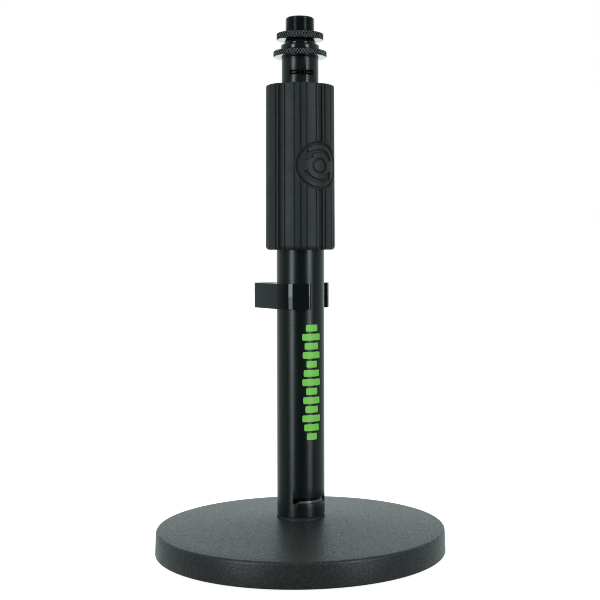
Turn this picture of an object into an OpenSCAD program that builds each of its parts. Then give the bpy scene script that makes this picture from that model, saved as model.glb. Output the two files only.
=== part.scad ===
// Desktop microphone stand: a heavy round base, a lower tube that twists off the base,
// an upper tube that slides and turns inside it, a twist clutch under a ribbed rubber
// grip, a snap-on cable clip, and a standard microphone thread with a knurled lock ring.
// Units are millimetres. The table top is z = 0, the tubes stand on +Z, the front is -Y.

/* [Base] */
// Diameter of the round base plate
base_d = 157.2; // [150:0.2:170]
// Height of the base plate's side wall
rim_h = 13.2; // [13:0.1:16]
// How much higher the middle of the base plate is than its rim
crown_h = 5; // [4.8:0.1:8]
// Gap that the rubber feet leave under the base plate
foot_gap = 1; // [0.6:0.1:1.4]

/* [Tubes] */
// Outside diameter of the lower tube
tube_d = 25.8; // [25.6:0.1:26]
// Wall thickness of both tubes
tube_wall = 1.2; // [1:0.1:1.3]
// Length of the lower tube
tube_len = 180.2; // [178:0.2:182]
// Outside diameter of the upper tube
mast_d = 20; // [19.8:0.1:20.1]
// Length of the upper tube
mast_len = 210.4; // [209:0.1:225]
// Height of the upper tube's top end above the table, as the stand is set
mast_top = 268.8; // [268:0.1:290]

/* [Grip and clutch] */
// Height of the grip's lower edge above the table
grip_z = 164.4; // [157:0.1:166]
// Length of the rubber grip
grip_len = 89.2; // [88:0.1:96]
// Diameter of the grip at its top
grip_top_d = 37.1; // [36.8:0.1:39]
// Diameter of the grip at its lower edge
grip_low_d = 37.6; // [37:0.1:39]
// Number of repeats of the rib pattern around the grip
rib_sets = 5; // [4:1:6]

/* [Cable clip] */
// Height of the cable clip's lower edge above the table
clip_z = 132.4; // [60:0.1:145]
// Height of the cable clip
clip_h = 13.8; // [10:0.1:15]
// Thickness of the cable clip's wall
clip_wall = 2; // [1.6:0.1:2.4]

/* [Microphone thread] */
// Major diameter of the microphone thread
thread_d = 15.8; // [15.6:0.05:15.9]
// Number of threads in an inch
thread_tpi = 27; // [24:1:32]
// Outside diameter of the fixed knurled flange
flange_ring_d = 29.1; // [27:0.1:32]
// Outside diameter of the knurled lock ring
lock_ring_d = 25.6; // [24:0.1:28]

/* [Hidden] */
$fn = 96;

// Clearances
run_gap = 0.05;   // radial gap of a running or a screwed fit
press_gap = 0.02; // radial gap of a pressed fit
face_gap = 0.05;  // gap between two faces that turn on each other
cut = 1;          // how far a cutting shape runs past the surface it cuts

// Base plate
base_r = base_d / 2;
rim_draft = 0.4;  // the side wall leans in by this much
edge_r = 1.4;     // rounding at the top of the side wall
edge_steps = 8;
rim_z = foot_gap + rim_h;
crown_z = rim_z + crown_h;
seat_depth = 0.4; // the spigot's flange sits this deep in the base plate
seat_z = crown_z - seat_depth;
hub_r = 14;       // flat land around the spigot
hollow_in_r = 22;
hollow_out_r = base_r - 22;
hollow_h = 4;
bolt_pocket_r = 11;
bolt_pocket_h = 10.5;

// Feet
foot_count = 4;
foot_r = 6.5;
foot_circle_r = base_r - 12;
foot_pocket_h = 2;
foot_stem_r = 2;
foot_stem_h = 4;

// Bolt and washers, from the bottom up
bolt_r = 4;
bolt_flats = 13;
bolt_head_h = 5.3;
flat_washer_h = 1.6;
flat_washer_r = 8.5;
lock_washer_h = 2;
lock_washer_r = 7.4;
pocket_top_z = foot_gap + bolt_pocket_h;
lock_washer_z = pocket_top_z - flat_washer_h - lock_washer_h;

// Spigot, gasket and bayonet
tube_r = tube_d / 2;
bore_r = tube_r - tube_wall;
spigot_flange_h = 1.2;
spigot_flange_z = seat_z + spigot_flange_h;
gasket_h = 0.75;
tube_z = spigot_flange_z + gasket_h + face_gap;
tube_top_z = tube_z + tube_len;
spigot_r = bore_r - run_gap;
spigot_top_z = 43;
pin_r = 1.25;
pin_z = tube_z + 8.9;
bolt_end_z = pin_z - pin_r - 1; // the bolt stops below the pin
pin_phi = -10;        // seat of the pin, measured from the front towards +X
slot_gap = 0.1;
slot_h = 2 * (pin_r + slot_gap);
seat_r = slot_h / 2 + 0.15; // the slot widens a little where the pin sits
entry_phi = 83;       // leg of the slot that opens at the tube's lower end
entry_span = 14;      // how much of the circle that leg takes

// Upper tube and its guide
mast_r = mast_d / 2;
mast_bore_r = mast_r - tube_wall;
mast_z = mast_top - mast_len;
bush_h = 16;
ring_h = 1;
ring_gap = 0.1;
ring_r = 11.2;
ring_groove = 0.4;
lower_ring_z = mast_z + 1;
bush_z = lower_ring_z + ring_h + ring_gap;
upper_ring_z = bush_z + bush_h + ring_gap;
stud_slot_z = mast_top - 8.8;
stud_slot_h = 2.5;
stud_slot_start = -34;
stud_slot_span = 84;
stud_key_h = 0.8;       // ribs of the stud that lie in the slot
stud_key_gap = 2;     // angle that they leave free at the slot's ends
screw_phi = 10;
screw_room = 16;      // angle that they leave free on both sides of the set screw
screw_r = 2;
screw_hole_r = 2.2;
screw_flats = 2;
screw_depth = 5;
screw_recess = 0.25;

// Clutch
nose_r = 13.5;
nose_h = 29;
clutch_plug_h = 18;
clutch_bore_r = mast_r + 0.075;
clutch_top_z = tube_top_z + nose_h;
taper_h = 12;
taper_in = 0.3;       // step from the bore to the narrow end of the taper
taper_rise = 2;       // growth of the taper's radius over its height
collet_gap = 0.08;
collet_head_r = 12.5;
collet_head_h = 4.6;
collet_head_z = clutch_top_z + 0.4;
collet_top_z = collet_head_z + collet_head_h;
collet_slots = 6;
collet_slot_w = 1.2;
washer_h = 1.5;
washer_z = collet_top_z + face_gap;
washer_r = 13.3;
nut_r = 16.5;
nut_z = grip_z + 1.6;
nut_top_z = grip_z + grip_len - 0.6;
nut_step_z = washer_z + washer_h;
mast_pass_r = mast_r + 0.2;

// Grip ribs: each repeat has a wide recess, a fine groove on both sides of it, and three
// fine grooves halfway to the next one
rib_phi = 39;          // middle of one wide recess
recess_w = 2.9;
recess_depth = 1.2;
groove_w = 0.7;
groove_depth = 0.6;
groove_step = 10;      // angle between the grooves of a three
side_step = 9;         // angle from a recess to the groove beside it
grip_round = 2;
grip_lip_r = tube_r + 0.3;
pad_phi = 37;          // middle of the round pad
pad_z = 209.2;
pad_r = 13;
pad_depth = 0.35;      // the pad lies this far below the rib tops

// Cable clip
clip_in_r = tube_r + run_gap;
clip_out_r = clip_in_r + clip_wall;
clip_mid_r = clip_in_r + clip_wall / 2;
clip_start = 22;       // front end of the ring
clip_end = -215;       // rear end of the ring, the long way round
arm_phi = -57;         // the cable hook leaves the ring here
arm_len = 24;
hook_bend_r = 2.2;
hook_turn = 125;
hook_tip = 9.8;
flare_bend_r = 2.5;
flare_turn = 45;
flare_len = 4.3;

// Microphone thread and rings
pitch = 25.4 / thread_tpi;
thread_r = thread_d / 2;
thread_depth = 0.6 * pitch;
thread_crest = pitch / 8;
shank_r = thread_r - 0.325 * pitch; // pitch radius, for the part below the free end
stud_plug_h = 18;
collar_r = 10.25;
collar_h = 0.5;
flange_ring_h = 3.1;
stud_flange_r = 10.45;
stud_flange_h = 3.5;
stud_edge = 0.4;
stud_neck_r = 8.5;
stud_neck_h = 2.2;
stud_flange_z = mast_top + collar_h + flange_ring_h;
thread_z = stud_flange_z + stud_flange_h;
lock_ring_z = thread_z + 2.7;
lock_ring_h = 3.5;
thread_turns = 16;
shank_turns = 7;     // the lowest turns: a relief, then the part under the lock ring
thread_top_z = thread_z + thread_turns * pitch;
thread_tip = 0.25;
dimple_r = 2.5;
ring_edge = 0.35;

// Turns a child so that its +X axis points outwards at an angle from the front towards +X.
module facing(phi) {
    rotate(phi - 90) children();
}

// A ring with flat ends.
module ring(outer_r, inner_r, z, h) {
    translate([0, 0, z])
        difference() {
            cylinder(r = outer_r, h = h);
            translate([0, 0, -cut]) cylinder(r = inner_r, h = h + 2 * cut);
        }
}

// A ring whose outer edges are chamfered.
module edged_ring(outer_r, inner_r, z, h, edge) {
    translate([0, 0, z])
        rotate_extrude()
            polygon([
                [inner_r, 0], [outer_r - edge, 0], [outer_r, edge],
                [outer_r, h - edge], [outer_r - edge, h], [inner_r, h]
            ]);
}

// A part of a ring that starts at one angle from the front and spans another.
module ring_sector(outer_r, inner_r, z, h, start, span) {
    facing(start)
        rotate_extrude(angle = span)
            translate([inner_r, z]) square([outer_r - inner_r, h]);
}

// A pin or a drill that lies along a radius.
module radial_pin(phi, z, r, from_r, to_r) {
    facing(phi)
        translate([from_r, 0, z])
            rotate([0, 90, 0]) cylinder(r = r, h = to_r - from_r);
}

// Points of an arc, for rounded outlines.
function arc(centre, r, from, to, steps) = [
    for (i = [0 : steps])
        let (a = from + (to - from) * i / steps)
            [centre[0] + r * cos(a), centre[1] + r * sin(a)]
];

// ---- Base ----

module base_plate() {
    lean = atan2(crown_h, base_r - rim_draft - hub_r);
    color("dimgray")
        difference() {
            rotate_extrude($fn = 180)
                polygon(concat(
                    [[0, foot_gap], [base_r - 0.6, foot_gap], [base_r, foot_gap + 0.6]],
                    arc([base_r - rim_draft - edge_r, rim_z - edge_r], edge_r, 0, 90 - lean, edge_steps),
                    [[hub_r, crown_z], [0, crown_z]]
                ));
            ring(hollow_out_r, hollow_in_r, foot_gap - cut, hollow_h + cut);
            translate([0, 0, foot_gap - cut]) cylinder(r = bolt_pocket_r, h = bolt_pocket_h + cut);
            cylinder(r = bolt_r + 0.3, h = crown_z + cut);
            translate([0, 0, seat_z]) cylinder(r = tube_r + 0.1, h = crown_h);
            for (i = [0 : foot_count - 1])
                facing(45 + 360 * i / foot_count)
                    translate([foot_circle_r, 0, 0]) {
                        cylinder(r = foot_r + run_gap, h = foot_gap + foot_pocket_h);
                        cylinder(
                            r = foot_stem_r + press_gap,
                            h = foot_gap + foot_pocket_h + foot_stem_h + 0.2
                        );
                    }
        }
}

module rubber_feet() {
    foot_h = foot_gap + foot_pocket_h;
    color("black")
        for (i = [0 : foot_count - 1])
            facing(45 + 360 * i / foot_count)
                translate([foot_circle_r, 0, 0])
                    rotate_extrude()
                        polygon([
                            [0, 0], [foot_r - 0.4, 0], [foot_r, 0.4], [foot_r, foot_h],
                            [foot_stem_r, foot_h], [foot_stem_r, foot_h + foot_stem_h],
                            [0, foot_h + foot_stem_h]
                        ]);
}

module base_bolt() {
    head_r = bolt_flats / 2 / cos(30);
    color("silver")
        union() {
            translate([0, 0, lock_washer_z - bolt_head_h])
                cylinder(r = head_r, h = bolt_head_h, $fn = 6);
            translate([0, 0, lock_washer_z - cut])
                cylinder(r = bolt_r - run_gap, h = bolt_end_z - lock_washer_z + cut);
        }
}

module lock_washer() {
    color("silver")
        difference() {
            ring(lock_washer_r, bolt_r + 0.15, lock_washer_z, lock_washer_h);
            translate([0, -1, lock_washer_z - cut])
                cube([lock_washer_r + cut, 2, lock_washer_h + 2 * cut]);
        }
}

module flat_washer() {
    color("silver")
        ring(flat_washer_r, bolt_r + 0.2, lock_washer_z + lock_washer_h, flat_washer_h);
}

module base_spigot() {
    color("gray")
        difference() {
            union() {
                translate([0, 0, seat_z]) cylinder(r = tube_r, h = spigot_flange_h);
                translate([0, 0, seat_z])
                    rotate_extrude()
                        polygon([
                            [0, 0], [spigot_r, 0], [spigot_r, spigot_top_z - seat_z - 1.5],
                            [spigot_r - 1.5, spigot_top_z - seat_z], [0, spigot_top_z - seat_z]
                        ]);
            }
            translate([0, 0, seat_z - cut]) cylinder(r = bolt_r, h = bolt_end_z + 0.4 - seat_z + cut);
            radial_pin(pin_phi, pin_z, pin_r + press_gap, -tube_r, tube_r);
        }
}

module bayonet_pin() {
    reach = tube_r - 0.1;
    color("silver") radial_pin(pin_phi, pin_z, pin_r, -reach, reach);
}

module base_gasket() {
    color("black") ring(tube_r - 0.2, spigot_r + run_gap, spigot_flange_z, gasket_h);
}

// ---- Lower tube ----

// The J-shaped way of the bayonet pin: in at the tube's end, then sideways to a round seat.
module bayonet_slot() {
    wide = tube_r + cut;
    deep = bore_r - cut;
    leg_start = entry_phi - entry_span / 2;
    leg_relief = 0.8;
    ring_sector(wide, deep, tube_z - cut, pin_z - tube_z + cut, leg_start, entry_span);
    ring_sector(
        wide, deep, pin_z - slot_h / 2, slot_h, pin_phi, leg_start + entry_span + leg_relief - pin_phi
    );
    radial_pin(pin_phi, pin_z, seat_r, deep, wide);
}

module lower_tube() {
    color("black")
        difference() {
            ring(tube_r, bore_r, tube_z, tube_len);
            bayonet_slot();
            rotate([0, 0, 180]) bayonet_slot();
        }
}

// Plug in the tube's top end, with the taper that closes the collet.
module clutch_body() {
    taper_z = clutch_top_z - taper_h;
    color("gray")
        rotate_extrude()
            polygon([
                [clutch_bore_r, tube_top_z - clutch_plug_h],
                [bore_r - press_gap, tube_top_z - clutch_plug_h],
                [bore_r - press_gap, tube_top_z],
                [nose_r, tube_top_z],
                [nose_r, clutch_top_z - 0.6],
                [nose_r - 0.6, clutch_top_z],
                [clutch_bore_r + taper_in + taper_rise, clutch_top_z],
                [clutch_bore_r + taper_in, taper_z],
                [clutch_bore_r, taper_z]
            ]);
}

// ---- Cable clip ----

// A point at a distance from the tube's axis, at an angle from the front towards +X.
function polar(r, phi) = [r * sin(phi), -r * cos(phi)];

// Outline of the clip from above, clockwise: the ring's front end, the arm and its hook,
// the ring's back, the flared rear end, and the bore on the way home.
function clip_outline() =
    let (
        half = clip_wall / 2,
        start = clip_start - 90,
        arm = arm_phi - 90,
        end = clip_end - 90,
        arm_heading = arm_phi - 180,
        tip_heading = arm_heading - hook_turn,
        flare_heading = clip_end - 180 + flare_turn,
        hook = polar(clip_mid_r - hook_bend_r, arm_phi)
            + arm_len * [cos(arm_heading), sin(arm_heading)],
        tip = hook + hook_bend_r * [cos(arm - hook_turn), sin(arm - hook_turn)]
            + hook_tip * [cos(tip_heading), sin(tip_heading)],
        flare = polar(clip_mid_r + flare_bend_r, clip_end),
        flare_tip = flare - flare_bend_r * [cos(end + flare_turn), sin(end + flare_turn)]
            + flare_len * [cos(flare_heading), sin(flare_heading)],
        root = acos(clip_in_r / clip_out_r)
    )
    concat(
        arc(polar(clip_mid_r, clip_start), half, start + 180, start, 10),
        arc([0, 0], clip_out_r, start, arm, 20),
        arc(hook, hook_bend_r + half, arm, arm - hook_turn, 16),
        arc(tip, half, arm - hook_turn, arm - hook_turn - 180, 10),
        arc(hook, hook_bend_r - half, arm - hook_turn, arm, 16),
        arc([0, 0], clip_out_r, arm - root, end, 32),
        arc(flare, flare_bend_r - half, end + 180, end + 180 + flare_turn, 8),
        arc(flare_tip, half, end + flare_turn, end + flare_turn - 180, 10),
        arc(flare, flare_bend_r + half, end + 180 + flare_turn, end + 180, 8),
        arc([0, 0], clip_in_r, end, start, 60)
    );

module cable_clip() {
    color("black")
        translate([0, 0, clip_z])
            linear_extrude(clip_h) polygon(clip_outline());
}

// ---- Clutch and grip ----

module collet() {
    foot_z = clutch_top_z - taper_h + 0.6;
    foot_cone_r = clutch_bore_r + taper_in + taper_rise * (foot_z - clutch_top_z + taper_h) / taper_h
        - collet_gap;
    head_cone_r = foot_cone_r + taper_rise * (collet_head_z - foot_z) / taper_h;
    color("white")
        difference() {
            rotate_extrude()
                polygon([
                    [mast_r + run_gap, foot_z],
                    [foot_cone_r, foot_z],
                    [head_cone_r, collet_head_z],
                    [collet_head_r, collet_head_z],
                    [collet_head_r, collet_top_z],
                    [mast_r + run_gap, collet_top_z]
                ]);
            for (i = [0 : collet_slots - 1])
                facing(360 * i / collet_slots)
                    translate([0, -collet_slot_w / 2, foot_z - cut])
                        cube([collet_head_r + cut, collet_slot_w, collet_head_z + 2 - foot_z + cut]);
        }
}

module thrust_washer() {
    color("white") ring(washer_r, mast_pass_r, washer_z, washer_h);
}

module clutch_nut() {
    color("dimgray")
        rotate_extrude()
            polygon([
                [nose_r + run_gap, nut_z],
                [nut_r, nut_z],
                [nut_r, nut_top_z - 0.8],
                [nut_r - 0.8, nut_top_z],
                [mast_pass_r + 0.6, nut_top_z],
                [mast_pass_r, nut_top_z - 0.6],
                [mast_pass_r, nut_step_z],
                [nose_r + run_gap, nut_step_z]
            ]);
}

// Lengthwise recess or groove in the grip, all the way along.
module grip_cut(phi, width, depth) {
    facing(phi)
        translate([grip_top_d / 2 - depth, -width / 2, grip_z - cut])
            cube([depth + 2, width, grip_len + 2 * cut]);
}

module grip_shell() {
    low_r = grip_low_d / 2;
    top_r = grip_top_d / 2;
    top_z = grip_z + grip_len;
    rotate_extrude()
        polygon(concat(
            [[grip_lip_r, grip_z]],
            arc([low_r - grip_round, grip_z + grip_round], grip_round, -90, 0, 6),
            [
                [top_r, top_z - 0.6], [top_r - 0.6, top_z], [nut_r + press_gap, top_z],
                [nut_r + press_gap, nut_z], [grip_lip_r, nut_z]
            ]
        ));
}

module grip_sleeve() {
    set_angle = 360 / rib_sets;
    color("black")
        union() {
            difference() {
                grip_shell();
                for (i = [0 : rib_sets - 1]) {
                    grip_cut(rib_phi + i * set_angle, recess_w, recess_depth);
                    for (k = [-1, 1])
                        grip_cut(rib_phi + i * set_angle + k * side_step, groove_w, groove_depth);
                    for (k = [-1 : 1])
                        grip_cut(rib_phi + (i + 0.5) * set_angle + k * groove_step, groove_w, groove_depth);
                }
            }
            intersection() {
                radial_pin(pad_phi, pad_z, pad_r, nut_r / 2, nut_r * 2);
                ring(grip_top_d / 2 - pad_depth, nut_r + 0.3, pad_z - pad_r - cut, 2 * (pad_r + cut));
            }
        }
}

// ---- Upper tube ----

module guide_bush() {
    color("white") edged_ring(bore_r - 0.075, mast_r + run_gap, bush_z, bush_h, 0.5);
}

module upper_tube() {
    color("black")
        difference() {
            ring(mast_r, mast_bore_r, mast_z, mast_len);
            for (z = [lower_ring_z, upper_ring_z])
                ring(mast_r + cut, mast_r - ring_groove, z - face_gap, ring_h + 2 * face_gap);
            ring_sector(
                mast_r + cut, mast_bore_r - cut, stud_slot_z - stud_slot_h / 2, stud_slot_h,
                stud_slot_start, stud_slot_span
            );
            radial_pin(screw_phi, stud_slot_z, screw_hole_r, mast_bore_r - cut, mast_r + cut);
        }
}

// Two spring rings that hold the guide bush on the upper tube.
module retaining_rings() {
    color("silver")
        for (z = [lower_ring_z, upper_ring_z])
            difference() {
                ring(ring_r, mast_r - ring_groove + press_gap, z, ring_h);
                translate([0, 0, z - cut])
                    facing(180) translate([0, -2.5, 0]) cube([ring_r + cut, 5, ring_h + 2 * cut]);
            }
}

module knurled_flange() {
    bore = mast_bore_r;
    color("black")
        union() {
            ring(collar_r, bore, mast_top, collar_h);
            edged_ring(flange_ring_d / 2, bore, mast_top + collar_h, flange_ring_h, ring_edge);
        }
}

// Half outline of the thread's free end: rings at the thread's pitch, with flat crests.
function thread_outline() = [
    for (i = [shank_turns : thread_turns - 1])
        let (z = thread_z + i * pitch)
            for (p = [
                [thread_r - thread_depth, z + thread_crest],
                [thread_r, z + (pitch - thread_crest) / 2],
                [thread_r, z + (pitch + thread_crest) / 2],
                [thread_r - thread_depth, z + pitch - thread_crest]
            ]) p
];

// The stud's turned body: plug, flange, neck, shank and threaded free end.
module stud_body(plug_r) {
    rotate_extrude()
        polygon(concat(
            [
                [0, mast_top - stud_plug_h], [plug_r - 0.5, mast_top - stud_plug_h],
                [plug_r, mast_top - stud_plug_h + 0.5], [plug_r, stud_flange_z],
                [stud_flange_r, stud_flange_z],
                [stud_flange_r, thread_z - stud_edge],
                [stud_flange_r - stud_edge, thread_z],
                [stud_neck_r, thread_z],
                [stud_neck_r, thread_z + stud_neck_h],
                [shank_r, thread_z + stud_neck_h],
                [shank_r, thread_z + shank_turns * pitch]
            ],
            thread_outline(),
            [
                [thread_r - thread_depth - thread_tip, thread_top_z],
                [dimple_r, thread_top_z], [0, thread_top_z - dimple_r / 2]
            ]
        ));
}

// A rib on the stud's plug that fills the middle of the tube's slot.
module stud_key(plug_r, start, end) {
    ring_sector(
        mast_r - press_gap, plug_r - 1, stud_slot_z - stud_key_h / 2, stud_key_h, start, end - start
    );
}

module thread_stud() {
    plug_r = mast_bore_r - press_gap;
    slot_end = stud_slot_start + stud_slot_span;
    color("black")
        difference() {
            union() {
                stud_body(plug_r);
                stud_key(plug_r, stud_slot_start + stud_key_gap, screw_phi - screw_room);
                stud_key(plug_r, screw_phi + screw_room, slot_end - stud_key_gap);
            }
            radial_pin(
                screw_phi, stud_slot_z, screw_r + press_gap,
                mast_r - screw_recess - screw_depth - 0.2, mast_r + cut
            );
        }
}

module stud_set_screw() {
    tip = mast_r - screw_recess - screw_depth;
    color("silver")
        difference() {
            radial_pin(screw_phi, stud_slot_z, screw_r, tip, tip + screw_depth);
            facing(screw_phi)
                translate([tip + screw_depth - 2, 0, stud_slot_z])
                    rotate([0, 90, 0]) cylinder(r = screw_flats / 2 / cos(30), h = 2 + cut, $fn = 6);
        }
}

module lock_ring() {
    color("black")
        edged_ring(lock_ring_d / 2, shank_r + run_gap, lock_ring_z, lock_ring_h, ring_edge);
}

base_plate();
rubber_feet();
base_bolt();
lock_washer();
flat_washer();
base_spigot();
bayonet_pin();
base_gasket();
lower_tube();
clutch_body();
cable_clip();
collet();
clutch_nut();
thrust_washer();
grip_sleeve();
guide_bush();
upper_tube();
retaining_rings();
knurled_flange();
thread_stud();
stud_set_screw();
lock_ring();
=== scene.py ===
"""Looks of the desktop microphone stand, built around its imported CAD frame.

Lengths are in millimetres until make_mesh() turns them into metres. Angles called phi are
in degrees, measured from the front (-Y) towards +X.
"""

import math

import bmesh
import bpy
import numpy as np
from mathutils import Matrix, Vector


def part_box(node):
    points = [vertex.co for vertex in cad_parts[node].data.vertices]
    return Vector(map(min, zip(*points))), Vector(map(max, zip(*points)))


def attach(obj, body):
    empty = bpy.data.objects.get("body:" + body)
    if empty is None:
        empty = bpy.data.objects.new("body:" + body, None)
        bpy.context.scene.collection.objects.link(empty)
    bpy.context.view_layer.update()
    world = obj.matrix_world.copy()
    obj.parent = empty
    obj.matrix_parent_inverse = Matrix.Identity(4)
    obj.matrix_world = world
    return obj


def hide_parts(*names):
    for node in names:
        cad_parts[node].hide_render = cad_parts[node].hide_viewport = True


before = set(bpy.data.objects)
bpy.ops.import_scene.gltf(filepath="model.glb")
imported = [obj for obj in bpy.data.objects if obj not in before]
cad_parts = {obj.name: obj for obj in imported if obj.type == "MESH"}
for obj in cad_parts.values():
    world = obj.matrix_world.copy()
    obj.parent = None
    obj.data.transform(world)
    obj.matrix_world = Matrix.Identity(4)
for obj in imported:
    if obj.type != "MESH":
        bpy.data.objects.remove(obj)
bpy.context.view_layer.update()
MM = 0.001


def span(node):
    """Lowest and highest corner of a CAD node, in millimetres."""
    low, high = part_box(node)
    return low / MM, high / MM


def middle_z(node):
    """Height of a CAD node's middle, in millimetres."""
    low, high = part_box(node)
    return (low.z + high.z) / 2 / MM


# ---- Sizes ----

# How far a cutter reaches past the surface that it cuts
OVERCUT = 1.0

# Base: rim, hub, the seat round the tube, and the hollow and pockets underneath
BASE_LOW, BASE_HIGH = span("base_plate")
BASE_R = BASE_HIGH.x
RIM_Z = BASE_LOW.z + 13.2
RIM_DRAFT = 0.4
RIM_ROUND = 1.6
RIM_FOOT_ROUND = 0.9
RIM_TOP_R = BASE_R - RIM_DRAFT - RIM_ROUND
HUB_R = 14.0
HUB_EDGE = 0.8
SEAT_GAP = 0.1
SEAT_DEPTH = 0.4
HOLLOW_H = 4.0
HOLLOW_R = (22.0, BASE_R - 22.0)
HOLLOW_ROUND = 1.5
UNDER_CHAMFER = 0.5
BOLT_POCKET_R = 11.0
BOLT_POCKET_H = 10.5
BOLT_HOLE_R = 4.3
FOOT_HIGH = span("rubber_feet")[1]
FOOT_POCKET_R = 6.55
FOOT_POCKET_H = 2.0
FOOT_HOLE_R = 2.05
FOOT_HOLE_ROOM = 0.2

# Lower tube, and its bayonet slots from the pin's seat to the entry
TUBE_LOW, TUBE_HIGH = span("lower_tube")
TUBE_R = TUBE_HIGH.x
WALL = 1.2
TUBE_EDGE = 0.25
# Heights above the tube's foot that get a row of faces of their own
TUBE_ROWS = (5, 16, 60, 110, 160)
PIN_PHI = -10.0
SLOT_Z = middle_z("bayonet_pin")
SLOT_H = 2.7
SEAT_R = 1.5
ENTRY_PHI = (76.0, 90.0)
SLOT_END_PHI = ENTRY_PHI[1] + 0.8
SLOT_ROUND = 0.3

# Upper tube, its ring grooves, the set screw and the slot that shows the stud's two ribs
MAST_LOW, MAST_HIGH = span("upper_tube")
MAST_R = MAST_HIGH.x
MAST_IN_R = MAST_R - WALL
RING_LOW, RING_HIGH = span("retaining_rings")
RING_H = 1.0
RING_ROOM = 0.05
RING_GROOVE_DEPTH = 0.4
SCREW_PHI = 10.0
SCREW_HOLE_R = 2.2
SCREW_THREAD_R = 2.02
SCREW_TIP_R = 4.3
SCREW_ROUND = 0.3
STUD_SLOT_Z = middle_z("stud_set_screw")
STUD_SLOT_H = 2.5
STUD_SLOT_PHI = (-34.0, 50.0)
STUD_SLOT_ROUND = 0.14
STUD_KEY_H = 0.8
STUD_KEY_ROUND = 0.12
STUD_KEYS = ((-32.0, -6.0), (26.0, 48.0))

# Cable clip: its ring from start to end, the arm with its hook, and the flared rear end
CLIP_LOW, CLIP_HIGH = span("cable_clip")
CLIP_WALL = 2.0
CLIP_ROUND = 0.7
CLIP_IN_R = TUBE_R + 0.05
CLIP_START = 22.0
CLIP_END = -215.0
ARM_PHI = -57.0
ARM_LEN = 24.0
HOOK_BEND_R = 2.2
HOOK_TURN = 125.0
HOOK_TIP = 9.8
FLARE_BEND_R = 2.5
FLARE_TURN = 45.0
FLARE_LEN = 4.3

# Grip: core, rubber, repeated sets of ribs and the round pad
GRIP_LOW, GRIP_HIGH = span("grip_sleeve")
NUT_LOW, NUT_HIGH = span("clutch_nut")
NUT_BORE_R = 13.55
GRIP_LOW_R = GRIP_HIGH.x
GRIP_TOP_R = GRIP_LOW_R - 0.25
GRIP_LOW_ROUND = 2.0
GRIP_TOP_ROUND = 0.7
GRIP_LIP_R = TUBE_R + 0.3
RIB_SETS = 5
RIB_PHI = 39.0
RIB_RAMP = 0.2
RECESS_W = 2.9
RECESS_DEPTH = 1.2
GROOVE_W = 0.7
GROOVE_DEPTH = 0.6
GROOVE_STEP = 10.0
SIDE_STEP = 9.0
PAD_PHI = 37.0
PAD_Z = 209.2
PAD_R = 13.0
PAD_MARGIN = 1.2
PAD_STRETCH = 0.91
PAD_DEPTH = 0.35
PAD_RAMP = 0.25
GRIP_STEP = 0.22

# The twist sign: radius, half width and depth of its rings, then its two arrows
MARK_RINGS = ((11.9, 0.55, 0.75), (3.7, 0.5, 0.7))
MARK_RAMP = 0.14
ARROW_R = 8.0
ARROW_HALF_W = 0.85
ARROW_DEPTH = 0.7
ARROW_TAIL, ARROW_NECK, ARROW_TIP = 20, 128, 160
ARROW_HEAD_HALF_W = 2.7

# Knurled collar, stud with its thread, and lock ring
FLANGE_LOW, FLANGE_HIGH = span("knurled_flange")
COLLAR_R = 10.25
COLLAR_H = 0.5
STUD_LOW, STUD_HIGH = span("thread_stud")
STUD_FLANGE_R = 10.45
STUD_FLANGE_H = 3.5
STUD_EDGE = 0.4
STUD_NECK_R = 8.5
STUD_NECK_H = 2.2
THREAD_R = 7.9
THREAD_PITCH = 25.4 / 27
THREAD_DEPTH = 0.56 * THREAD_PITCH
# Steepness of the flanks, and how much is cut off the ridge's foot for a flat root
THREAD_FLANK = 1.36
THREAD_FLAT = 0.16
THREAD_CHAMFER = 0.9
THREAD_STEPS = 12
SHANK_R = THREAD_R - 0.325 * THREAD_PITCH
LOCK_LOW, LOCK_HIGH = span("lock_ring")
LOCK_CHAMFER = 0.5
KNURL_PITCH = 1.6
KNURL_ROW = 2.2
KNURL_DEPTH = 0.42
KNURL_SLOPE = 2.2
KNURL_EDGE = 0.3
# Steps of the mesh along one ridge's pitch, round and up the rim
KNURL_STEPS = 8
KNURL_ROW_STEPS = 16

# The printed pattern: length of each bar as a share of the longest, and their place on the tube
BARS = (0.56, 0.82, 1.0, 0.70, 0.92, 0.62, 1.0, 0.86, 0.58, 0.95, 0.76, 1.0, 0.64)
BAR_LEN = 11.0
BAR_FILL = 0.74
BAR_CORNER = 0.7
PRINT_Z = (TUBE_LOW.z + 41.0, TUBE_LOW.z + 104.0)
PRINT_PHI = 30.7
PRINT_FILM = (0.004, 0.03)


# ---- Mesh helpers ----

def polar(r, phi, z=0.0):
    """The point at a radius, an angle and a height."""
    a = math.radians(phi)
    return (r * math.sin(a), -r * math.cos(a), z)


def arc(centre, r, start, end, steps):
    """Points of an arc in a plane, with both ends."""
    return [
        (
            centre[0] + r * math.cos(math.radians(start + (end - start) * i / steps)),
            centre[1] + r * math.sin(math.radians(start + (end - start) * i / steps)),
        )
        for i in range(steps + 1)
    ]


def smooth(edge0, edge1, x):
    """0 below edge0, 1 above edge1 and an S-curve between them."""
    t = np.clip((x - edge0) / (edge1 - edge0), 0.0, 1.0)
    return t * t * (3 - 2 * t)


def make_mesh(name, verts, faces, sharp=32.0):
    """A smooth-shaded object from millimetre points, with edges above the sharp angle kept crisp."""
    mesh = bpy.data.meshes.new(name)
    mesh.from_pydata([tuple(c * MM for c in v) for v in verts], [], faces)
    bm = bmesh.new()
    bm.from_mesh(mesh)
    bmesh.ops.remove_doubles(bm, verts=bm.verts, dist=1e-7)
    bmesh.ops.recalc_face_normals(bm, faces=bm.faces)
    bm.to_mesh(mesh)
    bm.free()
    obj = bpy.data.objects.new(name, mesh)
    bpy.context.scene.collection.objects.link(obj)
    shade(obj, sharp)
    return obj


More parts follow.
